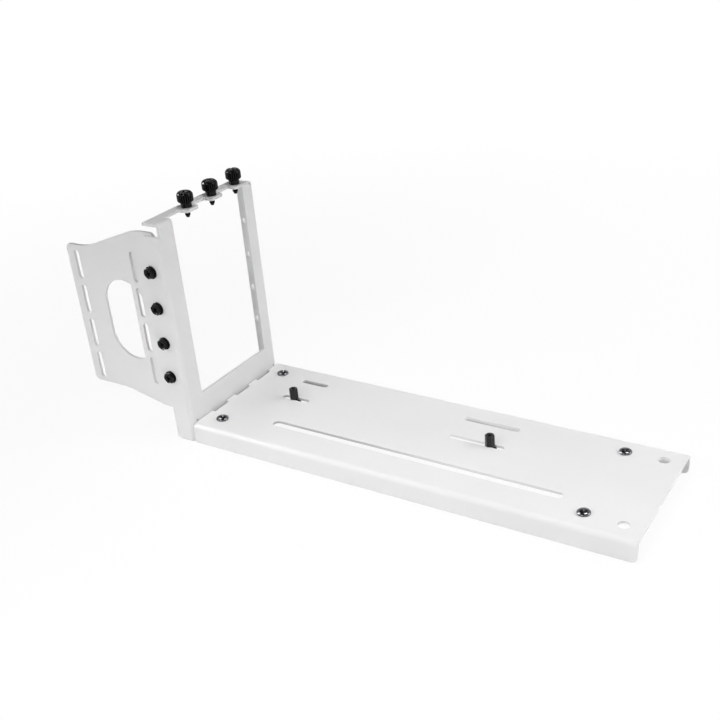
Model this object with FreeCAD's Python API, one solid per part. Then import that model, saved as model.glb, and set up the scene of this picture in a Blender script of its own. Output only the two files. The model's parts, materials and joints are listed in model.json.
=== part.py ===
import FreeCAD, Part
import math
import os
from FreeCAD import Vector

# Upright bracket that holds a graphics card on edge, made of folded steel sheet and screws.
# Sizes are millimetres. The pieces are drawn with X = 0 on the inner face of the upright, Y = 0 on the
# front face and Z = 0 on the floor, and are then moved so that the origin is the middle of the underside.

# Sheet steel and the spacing of expansion card slots
sheet = 1.5
bend_inside = 1.25
bend_outside = bend_inside + sheet
card_pitch = 20.32

# Base channel
base_length = 255.0
base_width = 82.1
base_height = 11.5
base_seam = 0.5
base_corner = 3.0
notch_first_y = 23.3
notch_width = 13.0
notch_depth = 2.6
screw_inset_y = 11.9
screw_left_x = 11.8
screw_right_x = 224.8
spare_hole_x = 244.7
spare_hole_front_y = 11.0
spare_hole_spacing = 60.0
spare_hole_diameter = 6.0
riser_slot_width = 3.3
riser_slot_spans = [(28.0, 45.5), (135.0, 167.5)]
riser_slot_rows = [47.8, 67.6]
long_slot_span = (40.7, 211.2)
long_slot_y = 20.5
long_slot_width = 5.2

# Upright: panel with a window, folded flanges in front, behind, on top and under the base
upright_depth = 80.2
upright_height = 126.5
window_front_y = 11.8
window_back_y = 70.5
window_bottom_z = 25.4
flange_reach = 25.5
flange_corner = 2.5
flange_top_z = 120.1
flange_top_flat = 10.2
flange_edge_top_z = 109.8
flange_edge_bottom_z = 32.0
flange_foot_width = 12.1
flange_foot_z = 22.4
flange_slot_x = -20.8
flange_slot_length = 17.0
flange_slot_width = 3.4
flange_slot_lift = 1.0
flange_screw_x = -9.1
flange_screw_first_z = 39.5
flange_screw_count = 4
back_flange_reach = 11.1
back_flange_top_z = 125.0
back_hole_x = -8.5
back_hole_diameter = 4.0
top_bend_inside = 0.5
top_bend_outside = top_bend_inside + sheet
top_front_y = 1.3
top_reach = 10.7
top_strip_inner_x = -5.8
tongue_tip_x = -0.3
tongue_width = 9.8
tongue_corner = 1.4
foot_reach = 22.0
foot_front_y = 5.0
foot_back_y = 76.4
foot_bend_inside = 0.5
relief = 1.0

# Extension plate, measured from the middle of its row of tapped holes
plate_right = 4.3
plate_left = -60.3
plate_right_top = 51.5
plate_right_bottom = -51.4
plate_left_top = 37.6
plate_left_bottom = -45.3
plate_top_sweep = (-9.1, -45.7)
plate_bottom_sweep = (-9.5, -36.0)
plate_sweep_radius = 36.0
plate_corner = 3.0
plate_slot_u = -53.7
plate_slot_v = -4.2
plate_slot_length = 16.5
plate_slot_width = 3.4
plate_oval_centre = (-24.3, -1.6)
plate_oval_size = (29.0, 46.5)

# Screws, nuts and standoffs; turned pieces are drawn with flat sides, as there are many of them
screw_sides = 14
thread_diameter = 3.5
thread_clearance = 0.05
through_hole = 3.9
thumb_x = -4.7
thumb_first_y = 29.25
thumb_count = 3
thumb_thread_diameter = 3.0
thumb_collar_diameter = 5.8
thumb_collar_height = 2.8
thumb_head_diameter = 8.6
thumb_head_height = 5.7
thumb_top_bevel = 1.5
thumb_under_bevel = 0.8
thumb_shank = 5.5
thumb_knurls = 15
thumb_groove_share = 0.09
thumb_slot_width = 1.1
thumb_slot_depth = 0.9
thumb_turns = [25.0, 70.0, 140.0]
flange_washer_diameter = 6.6
flange_washer_height = 0.6
flange_head_across_flats = 4.7
flange_head_height = 2.6
flange_shank = 5.4
flange_turns = [10.0, 35.0, 50.0, 20.0]
base_head_diameter = 6.8
base_head_bevel = 0.9
base_head_height = 1.75
base_shank = 7.0
base_nut_across_flats = 7.9
base_nut_height = 2.8
recess_length = 3.4
recess_width = 0.9
recess_depth = 1.1
standoff_x = [35.6, 159.3]
standoff_y = 47.8
standoff_across_flats = 4.5
standoff_turn = 15.0
standoff_height = 6.4
standoff_tap_diameter = 2.5
standoff_tap_depth = 3.4
stud_diameter = 3.0
stud_below = 3.0
riser_nut_across_flats = 7.0
riser_nut_height = 2.2
slide_gap = 0.03

# Heights and places that follow from the sizes above
plate_middle_z = flange_screw_first_z + card_pitch * (flange_screw_count - 1) / 2
base_underside = base_height - sheet
back_row_y = base_width - screw_inset_y
origin = Vector(
    (base_length + flange_screw_x + plate_left) / 2,
    (base_width - flange_head_height) / 2,
    0,
)
tapped_hole = thread_diameter + 2 * thread_clearance
thumb_tapped_hole = thumb_thread_diameter + 2 * thread_clearance
past = 1.0


def rounded_corner(before, corner, after):
    """Start, middle and end of the arc that rounds one corner of an outline."""
    here = Vector(corner[0], corner[1], 0)
    back = (Vector(before[0], before[1], 0) - here).normalize()
    ahead = (Vector(after[0], after[1], 0) - here).normalize()
    half = back.getAngle(ahead) / 2
    reach = corner[2] / math.tan(half)
    inward = (back + ahead).normalize()
    middle = here + inward * (corner[2] / math.sin(half) - corner[2])
    return here + back * reach, middle, here + ahead * reach


def outline(corners, place):
    """Flat face with corners (u, v, radius), set in space by the function place."""
    arcs = []
    for i in range(len(corners)):
        arcs.append(rounded_corner(corners[i - 1], corners[i], corners[(i + 1) % len(corners)]))
    edges = []
    for i in range(len(corners)):
        start, middle, end = arcs[i]
        onward = arcs[(i + 1) % len(corners)][0]
        if corners[i][2] > 0:
            edges.append(Part.Arc(place(start), place(middle), place(end)).toShape())
        if (onward - end).Length > 1e-6:
            edges.append(Part.LineSegment(place(end), place(onward)).toShape())
    return Part.Face(Part.Wire(edges))


def prism_x(corners, start, end):
    """Outline in Y and Z, drawn out along X."""
    return outline(corners, lambda p: Vector(start, p.x, p.y)).extrude(Vector(end - start, 0, 0))


def prism_y(corners, start, end):
    """Outline in X and Z, drawn out along Y."""
    return outline(corners, lambda p: Vector(p.x, start, p.y)).extrude(Vector(0, end - start, 0))


def prism_z(corners, start, end):
    """Outline in X and Y, drawn out along Z."""
    return outline(corners, lambda p: Vector(p.x, p.y, start)).extrude(Vector(0, 0, end - start))


def rectangle(low_u, high_u, low_v, high_v, radius=0):
    corners = [(low_u, low_v), (high_u, low_v), (high_u, high_v), (low_u, high_v)]
    return [(u, v, radius) for u, v in corners]


def round_hole(position, direction, diameter, depth):
    return Part.makeCylinder(diameter / 2, depth, position, direction)


def ring(radius, height):
    """Evenly spaced points on a level circle about Z."""
    steps = [2 * math.pi * i / screw_sides for i in range(screw_sides)]
    return [Vector(radius * math.cos(step), radius * math.sin(step), height) for step in steps]


def band(lower, upper):
    """Flat faces between two rings of points."""
    faces = []
    for i in range(len(lower)):
        corners = [lower[i - 1], lower[i], upper[i], upper[i - 1]]
        faces.append(Part.Face(Part.makePolygon(corners + corners[:1])))
    return faces


def stack(rings):
    """Solid that runs through rings of points from the lowest to the highest, closed at both ends."""
    faces = [Part.Face(Part.makePolygon(end + end[:1])) for end in (rings[0], rings[-1])]
    for lower, upper in zip(rings, rings[1:]):
        faces += band(lower, upper)
    return Part.Solid(Part.Shell(faces))


def hexagon(across_flats):
    """Corners of a hexagon with a corner on +X."""
    radius = across_flats / math.sqrt(3)
    return [(radius * math.cos(math.pi * i / 3), radius * math.sin(math.pi * i / 3), 0) for i in range(6)]


def one_solid(shape):
    return shape.removeSplitter().Solids[0]


def base_channel():
    """U-shaped channel, folded down at front and back, with slots for the riser card."""
    profile = [
        (0, 0, 0),
        (0, base_height, bend_outside),
        (base_width, base_height, bend_outside),
        (base_width, 0, 0),
        (base_width - sheet, 0, 0),
        (base_width - sheet, base_underside, bend_inside),
        (sheet, base_underside, bend_inside),
        (sheet, 0, 0),
    ]
    side = [
        (base_seam, 0, 0),
        (base_length, 0, base_corner),
        (base_length, base_height, 0),
        (base_seam, base_height, 0),
    ]
    channel = prism_x(profile, base_seam, base_length).common(prism_y(side, 0, base_width))
    low = base_underside - past
    high = base_height + past
    cuts = []
    for i in range(thumb_count):
        middle = notch_first_y + card_pitch * i
        edge = rectangle(-notch_depth, notch_depth, middle - notch_width / 2, middle + notch_width / 2)
        cuts.append(prism_z(edge, low, high))
    for row in riser_slot_rows:
        for start, end in riser_slot_spans:
            half = riser_slot_width / 2
            cuts.append(prism_z(rectangle(start, end, row - half, row + half, half), low, high))
    half = long_slot_width / 2
    long_slot = rectangle(*long_slot_span, long_slot_y - half, long_slot_y + half, half)
    cuts.append(prism_z(long_slot, low, high))
    for x in (screw_left_x, screw_right_x):
        for y in (screw_inset_y, back_row_y):
            cuts.append(round_hole(Vector(x, y, low), Vector(0, 0, 1), through_hole, high - low))
    for y in (spare_hole_front_y, spare_hole_front_y + spare_hole_spacing):
        start = Vector(spare_hole_x, y, low)
        cuts.append(round_hole(start, Vector(0, 0, 1), spare_hole_diameter, high - low))
    return one_solid(channel.cut(cuts))


def flange_heights():
    return [flange_screw_first_z + card_pitch * i for i in range(flange_screw_count)]


def upright_walls():
    """Panel with its front and back flanges, trimmed to their outlines, and the window."""
    profile = [
        (-flange_reach, 0, 0),
        (0, 0, bend_outside),
        (0, upright_depth, bend_outside),
        (-back_flange_reach, upright_depth, 0),
        (-back_flange_reach, upright_depth - sheet, 0),
        (-sheet, upright_depth - sheet, bend_inside),
        (-sheet, sheet, bend_inside),
        (-flange_reach, sheet, 0),
    ]
    walls = prism_z(profile, 0, upright_height)
    front = [
        (past, 0, 0),
        (past, flange_top_z, 0),
        (-flange_top_flat, flange_top_z, flange_corner),
        (-flange_reach, flange_edge_top_z, flange_corner),
        (-flange_reach, flange_edge_bottom_z, flange_corner),
        (-flange_foot_width, flange_foot_z, flange_corner),
        (-flange_foot_width, 0, flange_corner),
    ]
    back = [
        (past, 0, 0),
        (past, back_flange_top_z, 0),
        (-back_flange_reach, back_flange_top_z, flange_corner),
        (-back_flange_reach, 0, 0),
    ]
    everything = rectangle(-flange_reach - past, past, -past, upright_height + past)
    front_trim = prism_y(everything, -past, bend_outside).cut(prism_y(front, -past, bend_outside))
    back_start = upright_depth - bend_outside
    back_trim = prism_y(everything, back_start, upright_depth + past).cut(
        prism_y(back, back_start, upright_depth + past)
    )
    window = rectangle(window_front_y, window_back_y, window_bottom_z, upright_height + past)
    bend_start = upright_height - top_bend_outside
    top_gap = rectangle(bend_outside, back_start, bend_start, upright_height + past)
    foot_gap = rectangle(foot_front_y - relief, foot_back_y + relief, -past, base_height + past)
    openings = [prism_x(gap, -sheet - past, past) for gap in (window, top_gap, foot_gap)]
    top_corner = prism_x(rectangle(top_front_y, bend_outside, flange_top_z, bend_start), -sheet, 0)
    return walls.cut([front_trim, back_trim] + openings).fuse(top_corner)


def top_flange():
    """Narrow strip over the window with a tongue for each card, the last one against the back post."""
    low = upright_height - sheet
    bend_x = -top_bend_outside
    flange_back_y = upright_depth - bend_outside - relief
    edge = [
        (-top_reach, top_front_y, 0),
        (bend_x, top_front_y, 0),
        (bend_x, window_front_y, 0),
        (top_strip_inner_x, window_front_y, 0),
    ]
    for i in range(thumb_count - 1):
        near = thumb_first_y + card_pitch * i - tongue_width / 2
        far = near + tongue_width
        edge += [
            (top_strip_inner_x, near, 0),
            (tongue_tip_x, near, tongue_corner),
            (tongue_tip_x, far, tongue_corner),
            (top_strip_inner_x, far, 0),
        ]
    last = thumb_first_y + card_pitch * (thumb_count - 1) - tongue_width / 2
    edge += [
        (top_strip_inner_x, last, 0),
        (tongue_tip_x, last, tongue_corner),
        (tongue_tip_x, window_back_y, 0),
        (bend_x, window_back_y, 0),
        (bend_x, flange_back_y, 0),
        (-top_reach, flange_back_y, 0),
    ]
    strip = prism_z(edge, low, upright_height)
    bend_bottom = upright_height - top_bend_outside
    bend = [
        (0, bend_bottom, 0),
        (0, upright_height, top_bend_outside),
        (bend_x, upright_height, 0),
        (bend_x, low, 0),
        (-sheet, low, top_bend_inside),
        (-sheet, bend_bottom, 0),
    ]
    front_bend = prism_y(bend, top_front_y, window_front_y)
    back_bend = prism_y(bend, window_back_y, flange_back_y)
    return strip.fuse([front_bend, back_bend])


def foot_flange():
    """Flange folded in under the base, slotted at the fold for the tails of the card brackets."""
    foot_outside = foot_bend_inside + sheet
    top = base_underside
    profile = [
        (0, base_height + past, 0),
        (0, top, foot_bend_inside),
        (foot_reach, top, 0),
        (foot_reach, top - sheet, 0),
        (-sheet, top - sheet, foot_outside),
        (-sheet, base_height + past, 0),
    ]
    flange = prism_y(profile, foot_front_y, foot_back_y)
    cuts = []
    for i in range(thumb_count):
        middle = notch_first_y + card_pitch * i
        notch = rectangle(0, notch_depth, middle - notch_width / 2, middle + notch_width / 2)
        cuts.append(prism_z(notch, 0, top + foot_bend_inside))
    for y in (screw_inset_y, back_row_y):
        cuts.append(round_hole(Vector(screw_left_x, y, 0), Vector(0, 0, 1), tapped_hole, base_height))
    return flange.cut(cuts)


def upright_frame():
    """The whole upright, one folded sheet with its screw holes and adjusting slots."""
    frame = upright_walls().fuse([top_flange(), foot_flange()])
    cuts = []
    half = flange_slot_width / 2
    inward = Vector(0, 1, 0)
    for z in flange_heights():
        middle = z + flange_slot_lift
        slot = rectangle(flange_slot_x - half, flange_slot_x + half, middle - flange_slot_length / 2,
                         middle + flange_slot_length / 2, half)
        cuts.append(prism_y(slot, -past, sheet + past))
        cuts.append(round_hole(Vector(flange_screw_x, -past, z), inward, through_hole, sheet + 2 * past))
        back_start = Vector(back_hole_x, upright_depth - sheet - past, middle)
        cuts.append(round_hole(back_start, inward, back_hole_diameter, sheet + 2 * past))
    for i in range(thumb_count):
        start = Vector(thumb_x, thumb_first_y + card_pitch * i, upright_height - sheet - past)
        cuts.append(round_hole(start, Vector(0, 0, 1), thumb_tapped_hole, sheet + 2 * past))
    return one_solid(frame.cut(cuts))


def extension_plate():
    """Flat plate behind the front flange, with tapped holes, an oval opening and adjusting slots."""
    edge = [
        (plate_right, plate_right_top, plate_corner),
        (plate_top_sweep[0], plate_right_top, plate_sweep_radius),
        (plate_top_sweep[1], plate_left_top, plate_sweep_radius),
        (plate_left, plate_left_top, plate_corner),
        (plate_left, plate_left_bottom, plate_corner),
        (plate_bottom_sweep[1], plate_left_bottom, plate_sweep_radius),
        (plate_bottom_sweep[0], plate_right_bottom, plate_sweep_radius),
        (plate_right, plate_right_bottom, plate_corner),
    ]
    plate = prism_y(edge, sheet, 2 * sheet)
    start = sheet - past
    end = 2 * sheet + past
    u, v = plate_oval_centre
    width, height = plate_oval_size
    oval = rectangle(u - width / 2, u + width / 2, v - height / 2, v + height / 2, width / 2)
    cuts = [prism_y(oval, start, end)]
    half = plate_slot_width / 2
    for z in flange_heights():
        offset = z - plate_middle_z
        middle = plate_slot_v + offset
        slot = rectangle(plate_slot_u - half, plate_slot_u + half, middle - plate_slot_length / 2,
                         middle + plate_slot_length / 2, half)
        cuts.append(prism_y(slot, start, end))
        cuts.append(round_hole(Vector(0, start, offset), Vector(0, 1, 0), tapped_hole, end - start))
    return one_solid(plate.cut(cuts))


def cross_recess(top):
    """Crossed blades that sink a driver recess into a head whose top is at the given height."""
    long = recess_length / 2
    half = recess_width / 2
    blades = [
        (long, -half), (long, half), (half, half), (half, long), (-half, long), (-half, half),
        (-long, half), (-long, -half), (-half, -half), (-half, -long), (half, -long), (half, -half),
    ]
    return prism_z([(x, y, 0) for x, y in blades], top - recess_depth, top + past)


def knurled_ring(radius, height):
    """Points round the knurls: ridges at the radius, grooves a share of it further in."""
    points = []
    for i in range(2 * thumb_knurls):
        angle = math.pi * i / thumb_knurls
        reach = radius * (1 - thumb_groove_share * (i % 2))
        points.append(Vector(reach * math.cos(angle), reach * math.sin(angle), height))
    return points


def thumbscrew():
    """Knurled thumbscrew with a collar and a slotted, barrel-shaped head; its seat is at Z = 0."""
    head = thumb_head_diameter / 2
    collar = thumb_collar_diameter / 2
    stem_radius = thumb_thread_diameter / 2
    under = thumb_collar_height
    top = under + thumb_head_height
    knob = stack([
        knurled_ring(head - thumb_under_bevel, under),
        knurled_ring(head, under + thumb_under_bevel),
        knurled_ring(head, top - thumb_top_bevel),
        knurled_ring(head - thumb_top_bevel, top),
    ])
    neck = stack([ring(collar, 0), ring(collar, under)])
    stem = stack([ring(stem_radius, -thumb_shank), ring(stem_radius, 0)])
    slot = prism_z(rectangle(-head, head, -thumb_slot_width / 2, thumb_slot_width / 2),
                   top - thumb_slot_depth, top + past)
    return one_solid(knob.fuse([neck, stem]).cut(slot))


def shank(length):
    """Plain shank from Z = 0 downwards."""
    return stack([ring(thread_diameter / 2, -length), ring(thread_diameter / 2, 0)])


def washer_head_screw():
    """Screw with a hexagon on a round washer face and a cross recess; its seat is at Z = 0."""
    radius = flange_washer_diameter / 2
    washer = stack([ring(radius, 0), ring(radius, flange_washer_height)])
    head = prism_z(hexagon(flange_head_across_flats), 0, flange_head_height)
    return one_solid(head.fuse([washer, shank(flange_shank)]).cut(cross_recess(flange_head_height)))


def pan_head_screw():
    """Screw with a low bevelled head and a cross recess; its seat is at Z = 0."""
    radius = base_head_diameter / 2
    head = stack([
        ring(radius, 0),
        ring(radius, base_head_height - base_head_bevel),
        ring(radius - base_head_bevel, base_head_height),
    ])
    return one_solid(head.fuse(shank(base_shank)).cut(cross_recess(base_head_height)))


def hex_nut(across_flats, height, thread):
    """Hexagon nut, from Z = 0 downwards, with a bore that clears the thread all round."""
    bore = (thread / 2 + thread_clearance) / math.cos(math.pi / screw_sides)
    hole = stack([ring(bore, -height - past), ring(bore, past)])
    return one_solid(prism_z(hexagon(across_flats), -height, 0).cut(hole))


def standoff():
    """Hexagonal standoff with a tapped hole on top and a stud that goes down through the base."""
    foot = sheet + 2 * slide_gap + stud_below
    stud = stack([ring(stud_diameter / 2, -foot), ring(stud_diameter / 2, 0)])
    mouth = Vector(0, 0, standoff_height - standoff_tap_depth)
    tap = round_hole(mouth, Vector(0, 0, 1), standoff_tap_diameter, standoff_tap_depth + past)
    post = prism_z(hexagon(standoff_across_flats), 0, standoff_height)
    post.rotate(Vector(0, 0, 0), Vector(0, 0, 1), standoff_turn)
    return one_solid(post.fuse(stud).cut(tap))


def save(name, shape, at=Vector(0, 0, 0)):
    """Writes one piece, moved to its place and then into the object's own frame."""
    placed = shape.copy()
    placed.translate(at - origin)
    placed.exportStep(f"parts/{name}.step")
    print(name, "valid" if placed.isValid() else "NOT VALID", round(placed.Volume, 1), "cubic mm")


def main():
    os.makedirs("parts", exist_ok=True)
    save("base_channel", base_channel())
    save("upright_frame", upright_frame())
    save("extension_plate", extension_plate(), Vector(flange_screw_x, 0, plate_middle_z))

    thumb = thumbscrew()
    for i, place in enumerate(("front", "middle", "back")):
        screwed_in = thumb.copy()
        screwed_in.rotate(Vector(0, 0, 0), Vector(0, 0, 1), thumb_turns[i])
        seat = Vector(thumb_x, thumb_first_y + card_pitch * i, upright_height + slide_gap)
        save(f"thumbscrew_{place}", screwed_in, seat)

    flange_screw = washer_head_screw()
    for i, z in enumerate(flange_heights()):
        facing_front = flange_screw.copy()
        facing_front.rotate(Vector(0, 0, 0), Vector(0, 0, 1), flange_turns[i])
        facing_front.rotate(Vector(0, 0, 0), Vector(1, 0, 0), 90)
        save(f"flange_screw_{i + 1}", facing_front, Vector(flange_screw_x, 0, z))

    base_screw = pan_head_screw()
    nut = hex_nut(base_nut_across_flats, base_nut_height, thread_diameter)
    for row, y in (("front", screw_inset_y), ("back", back_row_y)):
        save(f"base_screw_{row}_left", base_screw, Vector(screw_left_x, y, base_height))
        save(f"base_screw_{row}_right", base_screw, Vector(screw_right_x, y, base_height))
        save(f"base_nut_{row}_right", nut, Vector(screw_right_x, y, base_underside))

    post = standoff()
    locknut = hex_nut(riser_nut_across_flats, riser_nut_height, stud_diameter)
    for side, x in zip(("left", "right"), standoff_x):
        save(f"riser_standoff_{side}", post, Vector(x, standoff_y, base_height + slide_gap))
        save(f"riser_nut_{side}", locknut, Vector(x, standoff_y, base_underside - slide_gap))


main()
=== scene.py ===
# %% [markdown]
# # White steel support bracket
# This lesson dresses a finished CAD model in Blender. The bracket is folded steel sheet with a white
# powder coat, held together by black screws. The sheet pieces keep their CAD meshes and get a finish.
# The CAD model has its screws, nuts and standoffs with flat sides only, so they are turned again here
# with smooth heads, threads, knurls and driver recesses.

import json
import math

import bmesh
import bpy
from mathutils import Euler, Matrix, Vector

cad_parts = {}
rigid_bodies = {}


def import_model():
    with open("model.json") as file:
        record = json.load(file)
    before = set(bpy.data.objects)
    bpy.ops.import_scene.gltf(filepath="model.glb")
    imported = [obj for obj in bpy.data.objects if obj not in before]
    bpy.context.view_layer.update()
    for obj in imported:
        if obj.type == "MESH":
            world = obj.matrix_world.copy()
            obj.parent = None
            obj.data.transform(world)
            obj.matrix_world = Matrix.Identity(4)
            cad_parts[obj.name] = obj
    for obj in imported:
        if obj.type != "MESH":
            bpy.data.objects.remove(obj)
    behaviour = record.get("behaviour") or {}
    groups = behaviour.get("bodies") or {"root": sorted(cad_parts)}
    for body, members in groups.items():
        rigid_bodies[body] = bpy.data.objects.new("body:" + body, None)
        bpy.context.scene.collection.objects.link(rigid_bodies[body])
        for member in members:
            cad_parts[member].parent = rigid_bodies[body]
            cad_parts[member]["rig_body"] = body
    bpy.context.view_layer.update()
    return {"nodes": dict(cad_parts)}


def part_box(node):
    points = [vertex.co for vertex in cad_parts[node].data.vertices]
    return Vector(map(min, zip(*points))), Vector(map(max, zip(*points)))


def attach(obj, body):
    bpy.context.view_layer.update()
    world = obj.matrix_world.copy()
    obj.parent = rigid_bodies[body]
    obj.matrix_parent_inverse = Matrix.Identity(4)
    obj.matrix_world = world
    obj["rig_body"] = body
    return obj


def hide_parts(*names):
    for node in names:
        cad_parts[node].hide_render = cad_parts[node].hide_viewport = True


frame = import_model()
scene = bpy.context.scene
MM = 0.001

# %% [markdown]
# ## Camera
# The picture is taken from the front right, a little above the bracket. The lens and the place were found
# by matching the slots and screws, whose spacing is known. The picture is a crop of a larger one, so the
# lens axis is not in its middle. Turning the camera would tilt the lines of the base, so the lens is
# shifted instead, and they stay true.

# %% Camera
camera_place = Vector((268.2, -407.05, 299.2)) * MM
camera_turn = Euler([math.radians(angle) for angle in (59.736, 2.965, 29.064)])
lens_mm = 52.07
sensor_mm = 36.0
lens_shift = (-0.0731, 0.0791)
nearest_m = 0.01

camera_data = bpy.data.cameras.new("camera")
camera_data.sensor_width = sensor_mm
camera_data.lens = lens_mm
camera_data.shift_x, camera_data.shift_y = lens_shift
camera_data.clip_start = nearest_m
camera = bpy.data.objects.new("camera", camera_data)
camera.location = camera_place
camera.rotation_euler = camera_turn
scene.collection.objects.link(camera)
scene.camera = camera
scene.view_settings.view_transform = "Standard"
print("camera at", [round(value, 3) for value in camera.location])

# %% [markdown]
# ## Colours and shader nodes
# Each finish below is a small network of shader nodes. Its colours are written as sRGB hex values, as a
# paint program shows them, while Blender works in linear light, so one function converts them. Another
# adds a node with its settings and links. It could be done with three lines per link, but one call per
# node leaves each network short enough to read.

# %% Helpers for colours and shader nodes
def linear(hex_code):
    """Linear colour for Blender from an sRGB hex value."""
    shares = [int(hex_code[i:i + 2], 16) / 255 for i in (1, 3, 5)]
    steps = [s / 12.92 if s <= 0.04045 else ((s + 0.055) / 1.055) ** 2.4 for s in shares]
    return (*steps, 1.0)


def add_node(tree, kind, settings=None, **inputs):
    """Adds one node; an input, named or i0, i1 and so on, takes a number, a colour or an output."""
    made = tree.nodes.new(kind)
    for name, value in (settings or {}).items():
        setattr(made, name, value)
    for name, value in inputs.items():
        socket = made.inputs[int(name[1:]) if name[1:].isdigit() else name.replace("_", " ")]
        if isinstance(value, bpy.types.NodeSocket):
            tree.links.new(value, socket)
        else:
            socket.default_value = value
    return made


def new_tree(name):
    """Empty material and its node tree."""
    material = bpy.data.materials.new(name)
    material.use_nodes = True
    material.node_tree.nodes.clear()
    return material, material.node_tree


white = linear("#FFFFFF")
print("white is", white, "and middle grey is", round(linear("#777777")[0], 3))

# %% [markdown]
# ## White floor
# The bracket stands on white paper that runs up to a white backdrop. Strong lamps could burn the paper
# out to white, but they would bleach the bracket too. So the paper glows a little, and only where the
# camera, a mirror or glass sees it, while the lamps fall on plain matt white. The glow is weaker near the
# bracket, and there the paper keeps a soft shadow.

# %% Floor
floor_size = 6.0
glow_near, glow_far = 0.92, 1.0
fade_start, fade_end = 0.2, 0.6


def backdrop_share(tree):
    """1 for a ray of the camera, a mirror or glass, and 0 for light that falls on something."""
    rays = add_node(tree, "ShaderNodeLightPath").outputs
    share = rays["Is Camera Ray"]
    for ray in ("Is Glossy Ray", "Is Transmission Ray"):
        larger = add_node(tree, "ShaderNodeMath", {"operation": "MAXIMUM"}, i0=share, i1=rays[ray])
        share = larger.outputs[0]
    return share


floor_finish, tree = new_tree("studio_floor")
place = add_node(tree, "ShaderNodeTexCoord").outputs["Object"]
reach = add_node(tree, "ShaderNodeVectorMath", {"operation": "LENGTH"}, i0=place)
fade = add_node(tree, "ShaderNodeMapRange", Value=reach.outputs["Value"], i1=fade_start, i2=fade_end,
                i3=glow_near, i4=glow_far)
share = add_node(tree, "ShaderNodeMath", {"operation": "MULTIPLY"}, i0=backdrop_share(tree),
                 i1=fade.outputs[0])
paper = add_node(tree, "ShaderNodeBsdfDiffuse", Color=linear("#F7F7F7"))
glow = add_node(tree, "ShaderNodeEmission", Color=white, Strength=1.0)
mix = add_node(tree, "ShaderNodeMixShader", i0=share.outputs[0], i1=paper.outputs[0], i2=glow.outputs[0])
add_node(tree, "ShaderNodeOutputMaterial", Surface=mix.outputs[0])

bpy.ops.mesh.primitive_plane_add(size=floor_size)
floor = bpy.context.object
floor.name = "studio_floor"
floor.data.materials.append(floor_finish)
print("floor of", floor_size, "m")

# %% [markdown]
# ## White backdrop and dark ceiling
# The world is the rest of the room. It gives a weak, even light from all sides. To the camera and to
# mirrors it is a white backdrop with a dark ceiling high above it. A room that is white all over would be
# simpler, but then a black screw has nothing dark to mirror and turns grey.

# %% World
world_strength = 0.25
ceiling_tone = 0.03
ceiling_start, ceiling_full = 0.54, 0.72

scene.world = bpy.data.worlds.new("studio")
scene.world.use_nodes = True
tree = scene.world.node_tree
tree.nodes.clear()
direction = add_node(tree, "ShaderNodeTexCoord").outputs["Generated"]
upward = add_node(tree, "ShaderNodeSeparateXYZ", Vector=direction)
ceiling = add_node(tree, "ShaderNodeMapRange", Value=upward.outputs["Z"], i1=ceiling_start, i2=ceiling_full,
                   i3=1.0, i4=ceiling_tone)
ambient = add_node(tree, "ShaderNodeBackground", Color=white, Strength=world_strength)
backdrop = add_node(tree, "ShaderNodeBackground", Color=white, Strength=ceiling.outputs[0])
mix = add_node(tree, "ShaderNodeMixShader", i0=backdrop_share(tree), i1=ambient.outputs[0],
               i2=backdrop.outputs[0])
add_node(tree, "ShaderNodeOutputWorld", Surface=mix.outputs[0])
print("world light of", world_strength)

# %% [markdown]
# ## Soft lamps
# Wide lamps give the soft shadows of a studio: one hangs above, and the others stand in front, at the left
# and at the right. A single lamp beside the camera would be simpler, but it would draw a bright line on
# each bend of the sheet, since the bends face the camera. One faint lamp under the base keeps the slots at
# its far end from going dark.

# %% Soft lamps
base_middle = (0.02, 0.0, 0.03)


def softbox(name, place, aim, width, height, power):
    """Rectangular lamp that faces the point aim."""
    data = bpy.data.lights.new(name, "AREA")
    data.shape = "RECTANGLE"
    data.size = width
    data.size_y = height
    data.energy = power
    lamp = bpy.data.objects.new(name, data)
    lamp.location = place
    lamp.rotation_euler = (Vector(aim) - Vector(place)).to_track_quat("-Z", "Y").to_euler()
    scene.collection.objects.link(lamp)
    return lamp


# Mirrored in the shiny domes, the lamp above would be one white patch, so mirrors don't see it.
above = softbox("top_softbox", (0.02, -0.05, 0.8), base_middle, 0.3, 0.4, 2.9)
above.visible_glossy = False
softbox("front_softbox", (-0.1, -0.85, 0.6), base_middle, 0.5, 0.25, 3.3)
softbox("left_softbox", (-0.75, -0.6, 0.5), base_middle, 0.5, 0.25, 3.0)
softbox("right_softbox", (0.85, 0.35, 0.5), base_middle, 0.5, 0.25, 4.5)
below = softbox("under_fill", (0.09, 0.0, 0.001), (0.09, 0.0, 1.0), 0.13, 0.07, 0.011)
below.visible_camera = False
print("studio with", len(bpy.data.lights), "soft lamps")

# %% [markdown]
# ## Lamps for highlights
# The small black and plated heads need something bright to mirror. Stronger soft lamps would give that,
# but would bleach the white sheet. These three lamps light no matt surface at all, so they show only as
# the points of light on the heads.

# %% Lamps for highlights
for name, place, width, height, power in (
    ("left_glint", (-0.57, 0.08, 0.85), 0.25, 0.35, 3.3),
    ("right_glint", (0.27, 0.31, 0.95), 0.25, 0.35, 3.3),
    ("side_glint", (-0.82, -0.23, 0.37), 0.2, 0.3, 20.0),
):
    glint = softbox(name, place, base_middle, width, height, power)
    glint.visible_diffuse = False
print("studio with", len(bpy.data.lights), "lamps in all")

# %% [markdown]
# ## Black flags
# The light fades towards the top of the upright. Photographers get that with flags, black cards that cut
# off part of a lamp. A gradient in the paint would look the same from here, but it would be wrong under
# any other light. The flags stand above the picture, and neither camera nor mirror sees them.

# %% Black flags
flag_cloth, tree = new_tree("black_flag_cloth")
cloth = add_node(tree, "ShaderNodeBsdfDiffuse", Color=linear("#050505"))
add_node(tree, "ShaderNodeOutputMaterial", Surface=cloth.outputs[0])


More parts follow.
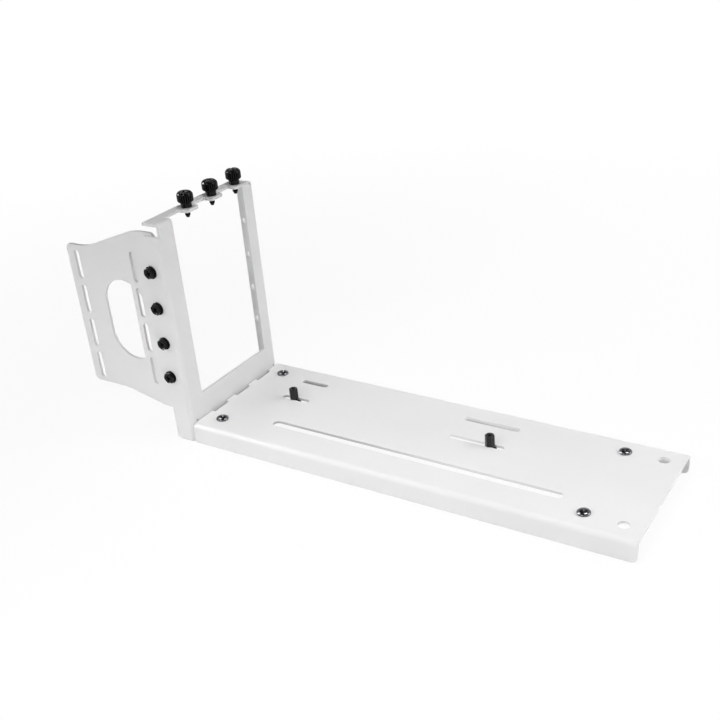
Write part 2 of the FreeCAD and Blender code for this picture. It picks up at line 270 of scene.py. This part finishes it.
def black_flag(name, place, turn, width, height):
    """Card that keeps part of a lamp's light off the bracket."""
    bpy.ops.mesh.primitive_plane_add(location=place, rotation=[math.radians(angle) for angle in turn])
    flag = bpy.context.object
    flag.name = name
    flag.scale = (width / 2, height / 2, 1.0)
    flag.data.materials.append(flag_cloth)
    flag.visible_camera = False
    flag.visible_glossy = False


black_flag("front_flag", (0.0, -0.35, 0.555), (90, 0, 0), 1.6, 0.5)
black_flag("upright_flag", (-0.3, 0.0, 0.305), (0, 0, 0), 0.45, 0.7)
black_flag("right_flag", (0.36, 0.25, 0.555), (90, 0, 90), 1.0, 0.5)
print("three flags shade the top of the upright")

# %% [markdown]
# ## White powder coat
# The sheets are sprayed with dry polyester powder and baked, so the steel is covered by a white plastic
# film with a faint orange-peel waviness. One flat colour would look like paper. Two noises do better: a
# fine one for the peel, and a wide one that changes gloss and tone a little from place to place.

# %% Powder coat material
def per_metre(size_mm):
    """Noise scale whose features are about this many millimetres wide."""
    return 1 / (size_mm * MM)


# The real peel is about a millimetre across, less than two pixels here, so it is drawn coarser to show.
peel_mm = 1.6
peel_depth_mm = 0.012
cloud_mm = 45.0

# A satin film: white with wide, soft highlights that never mirror a clear picture.
powder_coat, tree = new_tree("white_polyester_powder_coat")
place = add_node(tree, "ShaderNodeTexCoord").outputs["Object"]
peel = add_node(tree, "ShaderNodeTexNoise", Vector=place, Scale=per_metre(peel_mm), Detail=2.0)
cloud = add_node(tree, "ShaderNodeTexNoise", Vector=place, Scale=per_metre(cloud_mm), Detail=3.0)
tone = add_node(tree, "ShaderNodeMix", {"data_type": "RGBA"}, Factor=cloud.outputs["Fac"],
                i6=linear("#E6E6E6"), i7=linear("#EFEFEF"))
gloss = add_node(tree, "ShaderNodeMapRange", Value=cloud.outputs["Fac"], i3=0.42, i4=0.56)
bump = add_node(tree, "ShaderNodeBump", Strength=0.5, Distance=peel_depth_mm * MM,
                Height=peel.outputs["Fac"])
film = add_node(tree, "ShaderNodeBsdfPrincipled", Base_Color=tone.outputs[2], Roughness=gloss.outputs[0],
                Normal=bump.outputs[0], IOR=1.5)
add_node(tree, "ShaderNodeOutputMaterial", Surface=film.outputs[0])
print("made", powder_coat.name)

# %% [markdown]
# ## Sheet pieces
# Base, upright and plate are cut by laser, folded and coated. They keep the CAD meshes, whose folds, slots
# and windows are right already. A cut edge under a baked film is never razor sharp, and a narrow bevel
# rounds it. A bevel needs clean edges to follow, so the CAD triangles are first welded and joined where
# they lie flat.

# %% Round the sheet edges
sheet_nodes = ("base_channel", "upright_frame", "extension_plate")
weld_mm = 0.002
flat_angle = 0.5
edge_angle = 40
edge_round_mm = 0.22


def dress(piece, finish):
    """Gives a piece one material in place of what it came with."""
    piece.data.materials.clear()
    piece.data.materials.append(finish)


for name in sheet_nodes:
    sheet = frame["nodes"][name]
    weld = sheet.modifiers.new("weld", "WELD")
    weld.merge_threshold = weld_mm * MM
    flat = sheet.modifiers.new("join_flat_facets", "DECIMATE")
    flat.decimate_type = "DISSOLVE"
    flat.angle_limit = math.radians(flat_angle)
    edge = sheet.modifiers.new("round_edges", "BEVEL")
    edge.width = edge_round_mm * MM
    edge.segments = 2
    edge.limit_method = "ANGLE"
    edge.angle_limit = math.radians(edge_angle)
    even = sheet.modifiers.new("flat_face_normals", "WEIGHTED_NORMAL")
    even.weight = 100
    dress(sheet, powder_coat)
print("rounded", len(sheet_nodes), "sheets by", edge_round_mm, "mm")

# %% [markdown]
# ## Black zinc
# The thumbscrews, flange screws and locknuts are steel with a black zinc coat, which is dipped and thin.
# A plain black would look like a hole. A fine grain and a slow change of gloss break the highlights up, as
# they do on real coated screws.

# %% Black zinc material
grain_mm = 0.35
grain_depth_mm = 0.01
smudge_mm = 2.5

# A tight dark coat: nearly black, with small crisp highlights along the edges of heads and knurls.
black_zinc, tree = new_tree("satin_black_zinc_on_steel")
place = add_node(tree, "ShaderNodeTexCoord").outputs["Object"]
grain = add_node(tree, "ShaderNodeTexNoise", Vector=place, Scale=per_metre(grain_mm), Detail=3.0)
smudge = add_node(tree, "ShaderNodeTexNoise", Vector=place, Scale=per_metre(smudge_mm), Detail=2.0)
tone = add_node(tree, "ShaderNodeMix", {"data_type": "RGBA"}, Factor=smudge.outputs["Fac"],
                i6=linear("#030303"), i7=linear("#0B0B0C"))
gloss = add_node(tree, "ShaderNodeMapRange", Value=smudge.outputs["Fac"], i3=0.12, i4=0.26)
bump = add_node(tree, "ShaderNodeBump", Strength=0.3, Distance=grain_depth_mm * MM,
                Height=grain.outputs["Fac"])
coat = add_node(tree, "ShaderNodeBsdfPrincipled", Base_Color=tone.outputs[2], Roughness=gloss.outputs[0],
                Normal=bump.outputs[0], IOR=1.5, Specular_IOR_Level=0.16)
add_node(tree, "ShaderNodeOutputMaterial", Surface=coat.outputs[0])
print("made", black_zinc.name)

# %% [markdown]
# ## Lathe
# Screws, nuts and standoffs are turned on a lathe, and here one function stands for it: it spins a profile
# of (radius, height) points about Z. Blender's Screw modifier could spin a profile too. This function also
# takes a relief, which changes the radius with the angle, and that gives hexagons, knurls and helical
# threads as real geometry.

# %% Lathe
def turned(name, profile, sides, relief=None, hollow=False):
    """Object of revolution about Z from (radius, height) points in millimetres."""
    mesh = bmesh.new()
    rings = []
    for radius, height in profile:
        ring = []
        for i in range(sides):
            angle = 2 * math.pi * i / sides
            reach = relief(radius, height, angle) if relief else radius
            point = (reach * math.cos(angle) * MM, reach * math.sin(angle) * MM, height * MM)
            ring.append(mesh.verts.new(point))
        rings.append(ring)
    pairs = list(zip(rings, rings[1:]))
    if hollow:
        pairs.append((rings[-1], rings[0]))
    else:
        mesh.faces.new(rings[0][::-1])
        mesh.faces.new(rings[-1])
    for lower, upper in pairs:
        for i in range(sides):
            mesh.faces.new((lower[i - 1], lower[i], upper[i], upper[i - 1]))
    bmesh.ops.recalc_face_normals(mesh, faces=mesh.faces)
    return as_object(name, mesh)


def as_object(name, mesh):
    """Object in the scene from a bmesh, which is freed."""
    data = bpy.data.meshes.new(name)
    mesh.to_mesh(data)
    mesh.free()
    piece = bpy.data.objects.new(name, data)
    scene.collection.objects.link(piece)
    return piece


def rounded(radius, height, corner, start, end, steps=5):
    """Arc of profile points about (radius, height), in degrees from +radius towards +height."""
    angles = [math.radians(start + (end - start) * i / steps) for i in range(steps + 1)]
    return [(radius + corner * math.cos(a), height + corner * math.sin(a)) for a in angles]


print("a quarter round is", len(rounded(0, 0, 1, 0, 90)), "points")

# %% [markdown]
# ## Threads
# A thread is a V-shaped groove that climbs one pitch per turn. It could be a bump in the material, but its
# zigzag outline shows against the white. So the shank gets many rows of points, and a relief moves each
# point in by the depth of the groove at its height and angle.

# %% Threads
rows_per_turn = 8


def thread_rows(radius, start, end, pitch):
    """Profile rows close enough together to carry a helical thread."""
    count = max(2, round(abs(end - start) / pitch * rows_per_turn))
    return [(radius, start + (end - start) * i / count) for i in range(count + 1)]


def thread_depth(height, angle, pitch):
    """How deep the thread's V lies at this point, in millimetres."""
    turn = (height / pitch - angle / (2 * math.pi)) % 1
    return 0.5 * pitch * abs(2 * turn - 1)


def shank_relief(pitch, start, end, radius):
    """Relief that cuts a thread between two heights and leaves the rest round."""
    def relief(reach, height, angle):
        if start < height < end and abs(reach - radius) < 0.01:
            return reach - thread_depth(height, angle, pitch)
        return reach
    return relief


print("a thread of 0.5 mm pitch is", thread_depth(0.0, 0.0, 0.5), "mm deep")

# %% [markdown]
# ## Recesses
# A cross recess is pressed into a head by a punch with tapered blades. The same is done here: a tapered
# blade is cut out of the head, and then once more at a right angle. An exact boolean is slower than a
# drawn recess, but it fits any head. Smooth shading with sharp edges then hides the facets.

# %% Recesses
deep_length_share = 0.45
deep_width_share = 0.7
sharp_angle = 38


def combined(piece, other, operation):
    """Joins the other object to the piece, or cuts it out, and removes it."""
    tool = piece.modifiers.new("combine", "BOOLEAN")
    tool.operation = operation
    tool.object = other
    tool.solver = "EXACT"
    graph = bpy.context.evaluated_depsgraph_get()
    piece.data = bpy.data.meshes.new_from_object(piece.evaluated_get(graph))
    piece.modifiers.clear()
    bpy.data.objects.remove(other)


def driver_blade(length, width, depth, top, turn=0.0):
    """Tapered blade that presses one arm of a recess into a head."""
    mesh = bmesh.new()
    bmesh.ops.create_cube(mesh, size=1)
    for corner in mesh.verts:
        deep = corner.co.z < 0
        corner.co.x *= length * (deep_length_share if deep else 1.0) * MM
        corner.co.y *= width * (deep_width_share if deep else 1.0) * MM
        corner.co.z = (top - depth if deep else top + 0.5) * MM
    bmesh.ops.rotate(mesh, verts=mesh.verts, matrix=Euler((0, 0, turn)).to_matrix())
    return as_object("blade", mesh)


def cross_recess(piece, length, width, depth, top):
    """Presses a cross recess into a head whose top is at the given height."""
    for turn in (0, math.pi / 2):
        combined(piece, driver_blade(length, width, depth, top, turn), "DIFFERENCE")


def finished_mesh(piece, finish):
    """Smooth mesh with crisp edges and one material; the object that held it is removed."""
    mesh = piece.data
    mesh.shade_smooth()
    mesh.set_sharp_from_angle(angle=math.radians(sharp_angle))
    dress(piece, finish)
    bpy.data.objects.remove(piece)
    return mesh


print("edges over", sharp_angle, "degrees stay sharp")

# %% [markdown]
# ## Thumbscrews
# Three black thumbscrews on the upright clamp what the bracket holds. Each has a knurled barrel with a
# rounded crown, a plain collar, and a short thread with a pilot tip. The knurls are rolled into the real
# barrel. Here they are a relief, flat on top with narrow grooves, because such grooves stay dark and make
# the stripes that show from afar.

# %% Thumbscrew barrel
thumb_top = 8.5
thumb_collar = 2.8
barrel_radius = 4.3
foot_round = 1.1
crown_round = 2.2
knurls = 22
knurl_depth = 0.75
knurl_sides = 12
crown_start, crown_run = 1.9, 1.3


def knurl_relief(radius, height, angle):
    """Flat ridges down the barrel, whose grooves fade out on the crown."""
    ridge = min(1.0, 1.7 * abs(math.sin(angle * knurls / 2)))
    fade = max(0.0, min(1.0, (radius - crown_start) / crown_run))
    return radius - knurl_depth * fade * (1 - ridge)


barrel_profile = (
    [(2.2, thumb_collar - 0.3), (3.1, thumb_collar)]
    + rounded(barrel_radius - foot_round, thumb_collar + foot_round, foot_round, -90, 0)
    + [(barrel_radius, thumb_collar + 1.8), (barrel_radius, thumb_collar + 2.8)]
    + rounded(barrel_radius - crown_round, thumb_top - crown_round, crown_round, 0, 90, 10)
)
thumb = turned("thumbscrew", barrel_profile, knurls * knurl_sides, knurl_relief)
print("barrel with", knurls, "knurls")

# %% Thumbscrew stem and recesses
thumb_shank = 5.5
thumb_thread = 1.5
thumb_pitch = 0.5
thread_low, thread_high = -thumb_shank + 1.5, -0.6
pilot_tip = [
    (0.7, -thumb_shank), (0.95, -thumb_shank + 0.2), (1.05, -thumb_shank + 0.8), (1.5, -thumb_shank + 1.4)
]
collar = [(2.7, 0.0), (2.9, 0.2), (2.9, thumb_collar - 0.2), (2.3, thumb_collar + 0.3)]

stem_profile = (
    pilot_tip
    + thread_rows(thumb_thread, thread_low, thread_high, thumb_pitch)
    + [(1.25, -0.5), (1.25, 0.0)]
    + collar
)
stem = turned("stem", stem_profile, 64, shank_relief(thumb_pitch, thread_low, thread_high, thumb_thread))
combined(thumb, stem, "UNION")
combined(thumb, driver_blade(12.0, 1.25, 1.1, thumb_top), "DIFFERENCE")
cross_recess(thumb, 4.6, 1.25, 2.2, thumb_top)
thumb_mesh = finished_mesh(thumb, black_zinc)
print("thumbscrew mesh has", len(thumb_mesh.polygons), "faces")

# %% [markdown]
# ## Pieces on the frame
# A turned piece takes the place of its CAD node and moves with the same body. Its place could be typed in,
# but it comes from the node's own box, so it stays right when the CAD model changes.

# %% Place the thumbscrews
def replace_node(node, mesh, seat, turn=(0, 0, 0)):
    """Puts a detailed mesh where a CAD node is, on the body that carries the node."""
    piece = bpy.data.objects.new(node + "_turned", mesh)
    piece.location = seat
    piece.rotation_euler = [math.radians(angle) for angle in turn]
    scene.collection.objects.link(piece)
    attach(piece, frame["nodes"][node]["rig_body"])
    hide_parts(node)


def seat_below_top(node, height):
    """Point on the node's middle line that lies this many millimetres below its top."""
    low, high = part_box(node)
    seat = (low + high) / 2
    seat.z = high.z - height * MM
    return seat


thumb_turns = {"front": 25.0, "middle": 70.0, "back": 140.0}
for place, turn in thumb_turns.items():
    node = "thumbscrew_" + place
    replace_node(node, thumb_mesh, seat_below_top(node, thumb_top), (0, 0, turn))
print("placed", len(thumb_turns), "thumbscrews")

# %% [markdown]
# ## Hexagons
# Hexagon heads, nuts and standoffs are drawn from hexagon bar or forged, and their corners are turned off
# at the ends. A six-sided cylinder would lack that chamfer, which catches the light. So a round blank is
# trimmed to a hexagon by a relief that also cuts the corners back near both ends.

# %% Hexagons
chamfer_rows = [0.0, 0.1, 0.2, 0.35, 0.5]
chamfer_slope = 2


def hexagon_relief(across_flats, low, high, chamfer):
    """Relief that trims a round blank to a hexagon whose corners are chamfered at both ends."""
    def relief(radius, height, angle):
        if radius < across_flats / 2 - 0.01 or not low <= height <= high:
            return radius
        flat = across_flats / 2 / math.cos(angle % (math.pi / 3) - math.pi / 6)
        from_end = min(height - low, high - height)
        inset = max(0.0, chamfer - from_end * chamfer_slope)
        return min(flat, across_flats / math.sqrt(3) - inset)
    return relief


def hexagon_rows(across_flats, low, high):
    """Profile rows of a hexagon, close together where the chamfers are."""
    blank = across_flats / math.sqrt(3)
    heights = [low + step for step in chamfer_rows] + [high - step for step in chamfer_rows[::-1]]
    return [(blank, height) for height in heights]


print("a hexagon of 5.6 mm has corners", round(2 * hexagon_rows(5.6, 0, 1)[0][0], 2), "mm apart")

# %% [markdown]
# ## Flange screws
# Four black screws stand in a column on the front flange. Each head is a small hexagon, forged in one piece
# with a round washer face, and a cross recess is pressed into its top. Head and shank could be two objects
# joined together, but one profile from tip to head needs no joint.

# %% Flange screw
case_thread = 1.75
case_pitch = 0.6
case_tip = 0.6
case_neck = 0.3


def case_shank(length):
    """Profile of a threaded shank, from its tip up to the seat of the head at Z = 0."""
    tip = [(1.2, -length), (1.7, -length + 0.5)]
    neck = [(1.6, -0.2), (1.6, 0.0)]
    return tip + thread_rows(case_thread, -length + case_tip, -case_neck, case_pitch) + neck


def case_relief(length):
    """Relief that cuts the thread of such a shank."""
    return shank_relief(case_pitch, -length + case_tip, -case_neck, case_thread)


flange_head = 2.6
flange_washer = 0.6
flange_flats = 5.6
flange_radius = 3.6
flange_shank = 5.4
washer_face = [
    (flange_radius - 0.2, 0.0), (flange_radius, 0.15), (flange_radius, 0.35), (flange_radius - 0.15, 0.5),
    (3.25, flange_washer - 0.01)
]
dished_top = [(2.3, flange_head), (2.2, flange_head - 0.1), (1.0, flange_head - 0.1)]
flange_profile = (
    case_shank(flange_shank)
    + washer_face
    + hexagon_rows(flange_flats, flange_washer, flange_head)
    + dished_top
)
flange_thread = case_relief(flange_shank)
flange_hexagon = hexagon_relief(flange_flats, flange_washer, flange_head, 0.5)


def flange_relief(radius, height, angle):
    """Thread below the seat, hexagon above the washer face."""
    return flange_thread(radius, height, angle) if height < 0 else flange_hexagon(radius, height, angle)


flange_screw = turned("flange_screw", flange_profile, 96, flange_relief)
cross_recess(flange_screw, 3.9, 1.0, 1.6, flange_head)
flange_mesh = finished_mesh(flange_screw, black_zinc)
print("flange screw mesh has", len(flange_mesh.polygons), "faces")

# %% Place the flange screws
flange_turns = (10.0, 35.0, 50.0, 20.0)
for number, turn in enumerate(flange_turns, 1):
    node = "flange_screw_" + str(number)
    low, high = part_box(node)
    seat = (low + high) / 2
    seat.y = low.y + flange_head * MM
    replace_node(node, flange_mesh, seat, (90, -turn, 0))
print("placed", len(flange_turns), "flange screws")

# %% [markdown]
# ## Black nickel
# The screws and nuts of the base are plated with black nickel. It could be imitated with greys. But it is
# a real metal, and only a metallic shader lets it mirror the white room and the dark ceiling by itself.

# %% Black nickel material
# A dark mirror: the domes show small bright lamps and a black recess.
black_nickel, tree = new_tree("bright_black_nickel_plate")
place = add_node(tree, "ShaderNodeTexCoord").outputs["Object"]
smudge = add_node(tree, "ShaderNodeTexNoise", Vector=place, Scale=per_metre(smudge_mm), Detail=3.0)
tone = add_node(tree, "ShaderNodeMix", {"data_type": "RGBA"}, Factor=smudge.outputs["Fac"],
                i6=linear("#606063"), i7=linear("#78787B"))
gloss = add_node(tree, "ShaderNodeMapRange", Value=smudge.outputs["Fac"], i3=0.12, i4=0.22)
nickel = add_node(tree, "ShaderNodeBsdfPrincipled", Base_Color=tone.outputs[2], Roughness=gloss.outputs[0],
                  Metallic=1.0)
add_node(tree, "ShaderNodeOutputMaterial", Surface=nickel.outputs[0])
print("made", black_nickel.name)

# %% [markdown]
# ## Base screws
# Four pan-head screws hold the base: two go into the flange of the upright below it, and two into nuts. A
# pan head is a dome on a short straight rim. A bevelled disc would do from afar, but only a true curve
# draws a lamp out into a small glint on each side, so the dome is a quarter of an ellipse.

# %% Base screws
pan_head = 1.75
pan_rim = 0.55
pan_radius = 3.4
pan_shank = 7.0
dome_angles = [math.radians(step * 5.5) for step in range(16)]
dome = [(pan_radius * math.cos(a), pan_rim + (pan_head - pan_rim) * math.sin(a)) for a in dome_angles]

pan_profile = case_shank(pan_shank) + [(3.25, 0.0), (pan_radius, 0.12)] + dome
pan_screw = turned("pan_screw", pan_profile, 72, case_relief(pan_shank))
cross_recess(pan_screw, 4.6, 1.05, 1.5, pan_head)
pan_mesh = finished_mesh(pan_screw, black_nickel)

pan_turns = {"front_left": 30.0, "back_left": 24.0, "front_right": 22.0, "back_right": 27.0}
for place, turn in pan_turns.items():
    node = "base_screw_" + place
    replace_node(node, pan_mesh, seat_below_top(node, pan_head), (0, 0, turn))
print("base screw mesh has", len(pan_mesh.polygons), "faces")

# %% [markdown]
# ## Nuts
# A nut is a hexagon with a threaded bore, countersunk at both ends. A cylinder could be cut out of a
# hexagon, but the lathe makes the bore in the same go: a hollow piece's profile runs round and closes on
# itself. The thread inside is filled by the screw, so it is left plain.

# %% Base nuts
bore_clearance = 0.06
countersink = 0.3


def nut_mesh(name, across_flats, height, thread_radius, finish):
    """Hexagon nut below Z = 0 with a countersunk bore."""
    bore = thread_radius + bore_clearance
    profile = (
        [(bore, -height + countersink), (bore + countersink, -height)]
        + hexagon_rows(across_flats, -height, 0.0)
        + [(bore + countersink, 0.0), (bore, -countersink)]
    )
    nut = turned(name, profile, 96, hexagon_relief(across_flats, -height, 0.0, 0.45), hollow=True)
    return finished_mesh(nut, finish)


base_nut = nut_mesh("base_nut", 7.9, 2.8, case_thread, black_nickel)
for place in ("front_right", "back_right"):
    node = "base_nut_" + place
    replace_node(node, base_nut, seat_below_top(node, 0))
print("base nut mesh has", len(base_nut.polygons), "faces")

# %% [markdown]
# ## Black oxide
# The two standoffs are blackened in a hot bath, which turns the skin of the steel itself into a dull oxide.
# Black zinc could serve for them too, but beside the screws they look greyer and show no sharp highlight.

# %% Black oxide material
# A dull dark grey, lighter than the coated screws, with only a soft sheen.
black_oxide, tree = new_tree("matt_black_oxide_on_steel")
place = add_node(tree, "ShaderNodeTexCoord").outputs["Object"]
smudge = add_node(tree, "ShaderNodeTexNoise", Vector=place, Scale=per_metre(smudge_mm), Detail=3.0)
tone = add_node(tree, "ShaderNodeMix", {"data_type": "RGBA"}, Factor=smudge.outputs["Fac"],
                i6=linear("#222223"), i7=linear("#2E2E2F"))
gloss = add_node(tree, "ShaderNodeMapRange", Value=smudge.outputs["Fac"], i3=0.35, i4=0.5)
oxide = add_node(tree, "ShaderNodeBsdfPrincipled", Base_Color=tone.outputs[2], Roughness=gloss.outputs[0],
                 IOR=1.5, Specular_IOR_Level=0.22)
add_node(tree, "ShaderNodeOutputMaterial", Surface=oxide.outputs[0])
print("made", black_oxide.name)

# %% [markdown]
# ## Riser standoffs
# Two hexagonal standoffs carry a riser connector. Each has a tapped hole on top and a stud that runs down
# through a slot of the base to a locknut, so it can be moved along the slot. Hole, hexagon and stud lie on
# one axis. They could be cut and joined, but a single profile that starts in the hole gives all three.

# %% Standoffs
post_height = 6.4
post_flats = 4.5
post_turn = 15.0
tap_radius = 1.25
tap_depth = 3.4
tap_bottom = post_height - tap_depth
stud_radius = 1.5
stud_neck = 1.35
stud_length = 4.56
riser_pitch = 0.5

post_profile = (
    [(tap_radius, tap_bottom)]
    + thread_rows(tap_radius, tap_bottom + 0.1, post_height - 0.3, riser_pitch)
    + [(tap_radius + 0.3, post_height)]
    + hexagon_rows(post_flats, 0.0, post_height)[::-1]
    + [(stud_neck, 0.0), (stud_neck, -0.3)]
    + thread_rows(stud_radius, -0.35, -stud_length + 0.4, riser_pitch)
    + [(1.1, -stud_length)]
)
post_hexagon = hexagon_relief(post_flats, 0.0, post_height, 0.45)


def post_relief(radius, height, angle):
    """Hexagon outside, thread in the tapped hole and on the stud."""
    if radius == tap_radius and height > tap_bottom:
        return radius + 0.5 * thread_depth(height, angle, riser_pitch)
    if radius == stud_radius:
        return radius - thread_depth(height, angle, riser_pitch)
    return post_hexagon(radius, height, angle)


post_mesh = finished_mesh(turned("standoff", post_profile, 96, post_relief), black_oxide)
print("standoff mesh has", len(post_mesh.polygons), "faces")

# %% Place the standoffs and their locknuts
locknut = nut_mesh("locknut", 7.0, 2.2, stud_radius, black_zinc)
for side in ("left", "right"):
    node = "riser_standoff_" + side
    replace_node(node, post_mesh, seat_below_top(node, post_height), (0, 0, post_turn))
    node = "riser_nut_" + side
    replace_node(node, locknut, seat_below_top(node, 0))
print("locknut mesh has", len(locknut.polygons), "faces")
